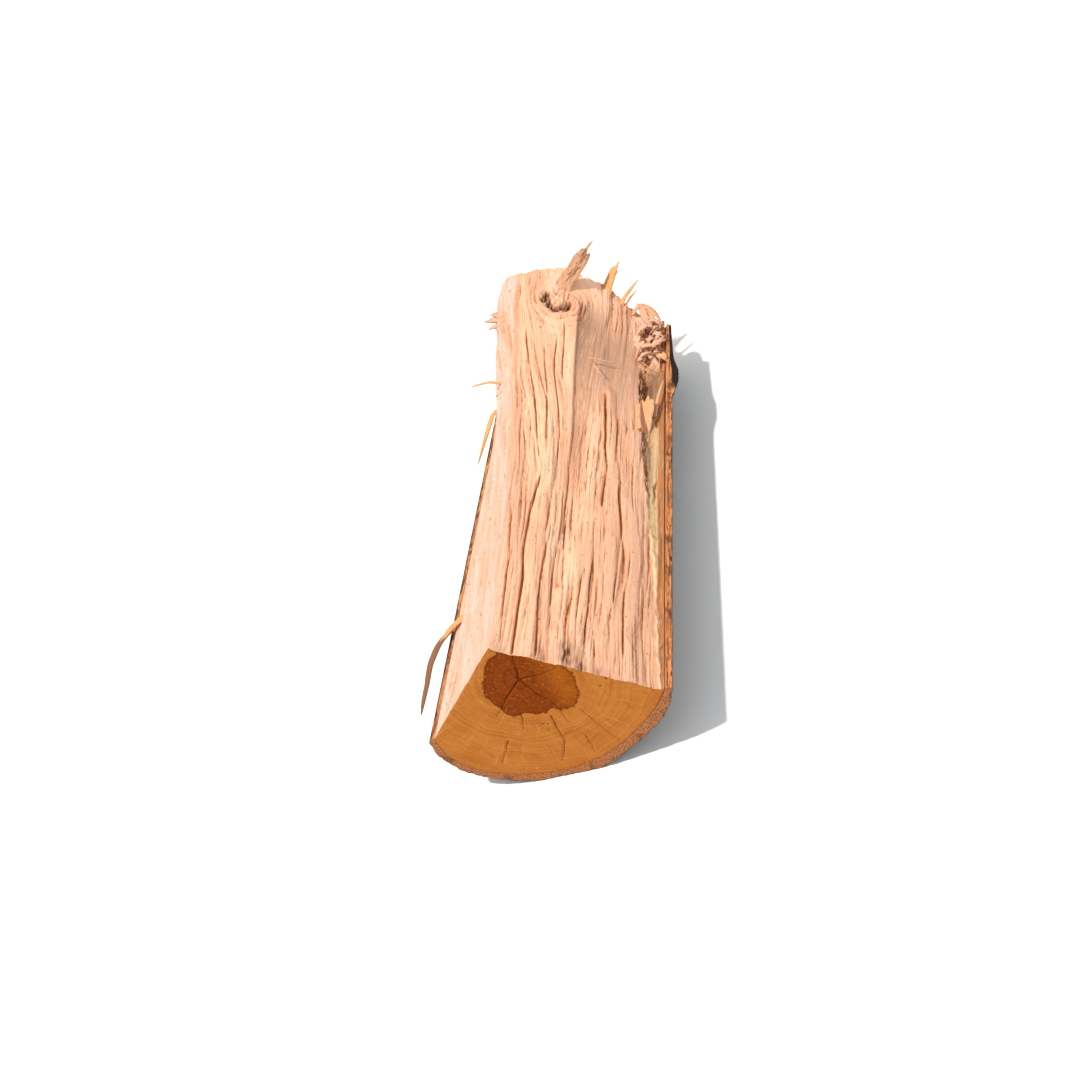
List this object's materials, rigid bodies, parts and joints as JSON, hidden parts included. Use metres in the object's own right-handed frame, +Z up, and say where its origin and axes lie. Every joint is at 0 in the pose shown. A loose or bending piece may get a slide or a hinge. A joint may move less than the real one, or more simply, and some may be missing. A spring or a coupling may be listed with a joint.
{
  "type": "split log",
  "caption": "Wedge-shaped split log with a sawn end, riven fibrous faces, torn splinters and bark on its round side, lying on the bark.",
  "frame": {"origin": "middle of the flat strip of bark that the log lies on", "axes": "+Y along the log from its sawn end to its torn end, +Z up, +X to the right as seen from the sawn end"},
  "size_m": [0.1525, 0.4055, 0.1182],
  "materials": {
    "wood": "raw riven wood: cream fibrous split faces, honey sapwood and red-brown heartwood on the sawn end",
    "bark": "rough furrowed dark grey-brown bark, brown-red and layered where it is cut",
    "straw": "fresh pale orange slivers"
  },
  "bodies": {
    "root": {"split_wood": "wood", "bark": "bark", "loose_straw_long": "straw", "loose_straw_short": "straw"}
  },
  "joints": []
}
